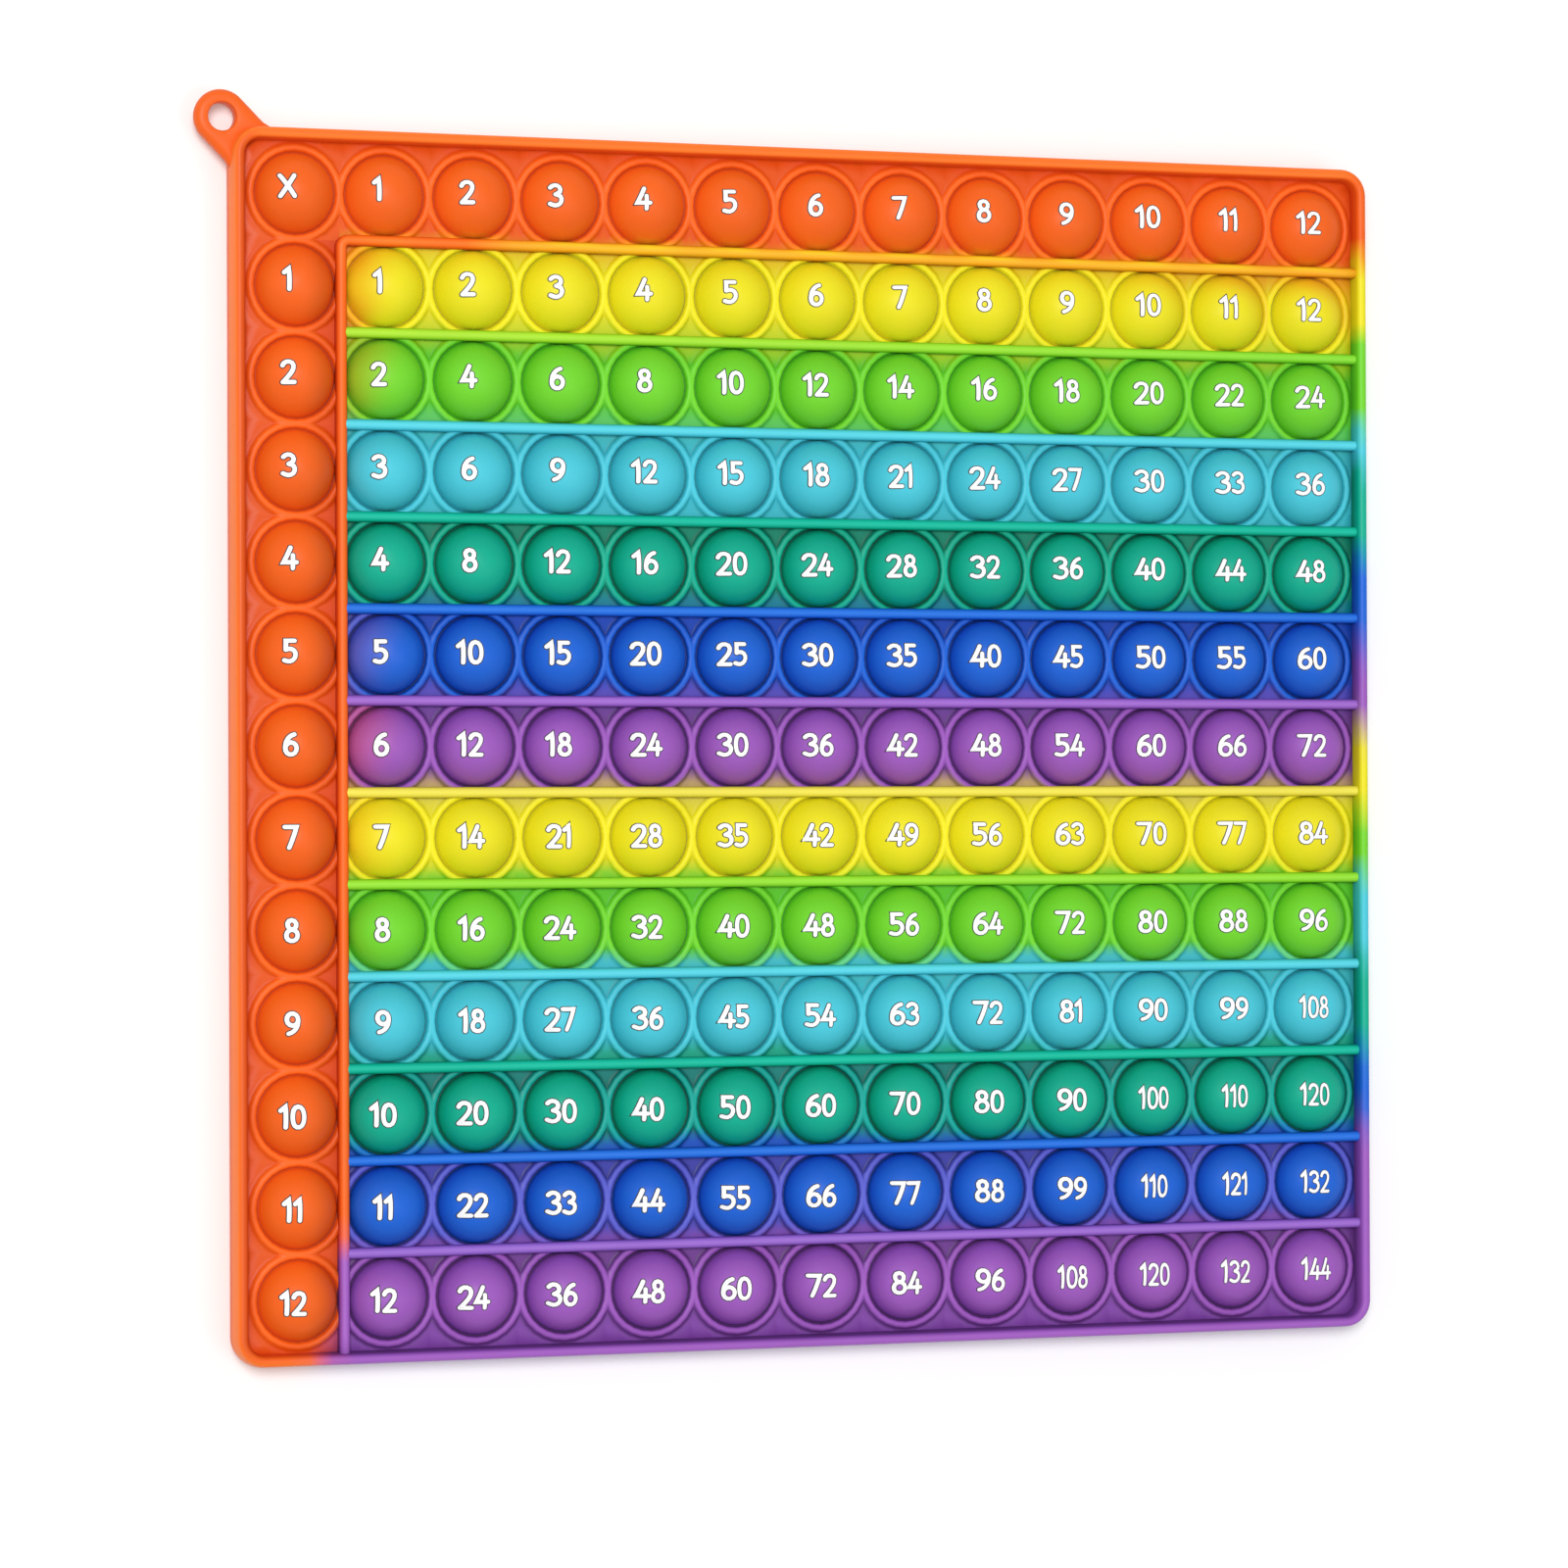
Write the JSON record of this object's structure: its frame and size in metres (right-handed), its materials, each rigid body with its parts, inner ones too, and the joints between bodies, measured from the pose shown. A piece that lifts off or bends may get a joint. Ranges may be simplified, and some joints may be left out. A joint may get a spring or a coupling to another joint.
{
  "type": "multiplication bubble board",
  "caption": "Square silicone bubble board for the times tables: rows of pop-through bubbles in raised collars, low ridges between rows, a thick rim and a hanging tab at one corner.",
  "frame": {"origin": "centre of the bounding box's bottom face, with the hanging tab counted", "axes": "+Z out of the bubbles, square to the board as it lies on its back; +Y towards the header row; +X towards the last column, away from the header column"},
  "size_m": [0.2762, 0.2762, 0.0128],
  "materials": {
    "silicone": "matte silicone, coloured row by row: orange header row, header column and tab, then yellow, lime green, cyan, teal, blue and purple, twice over"
  },
  "bodies": {
    "root": {"board": "silicone"}
  },
  "joints": []
}
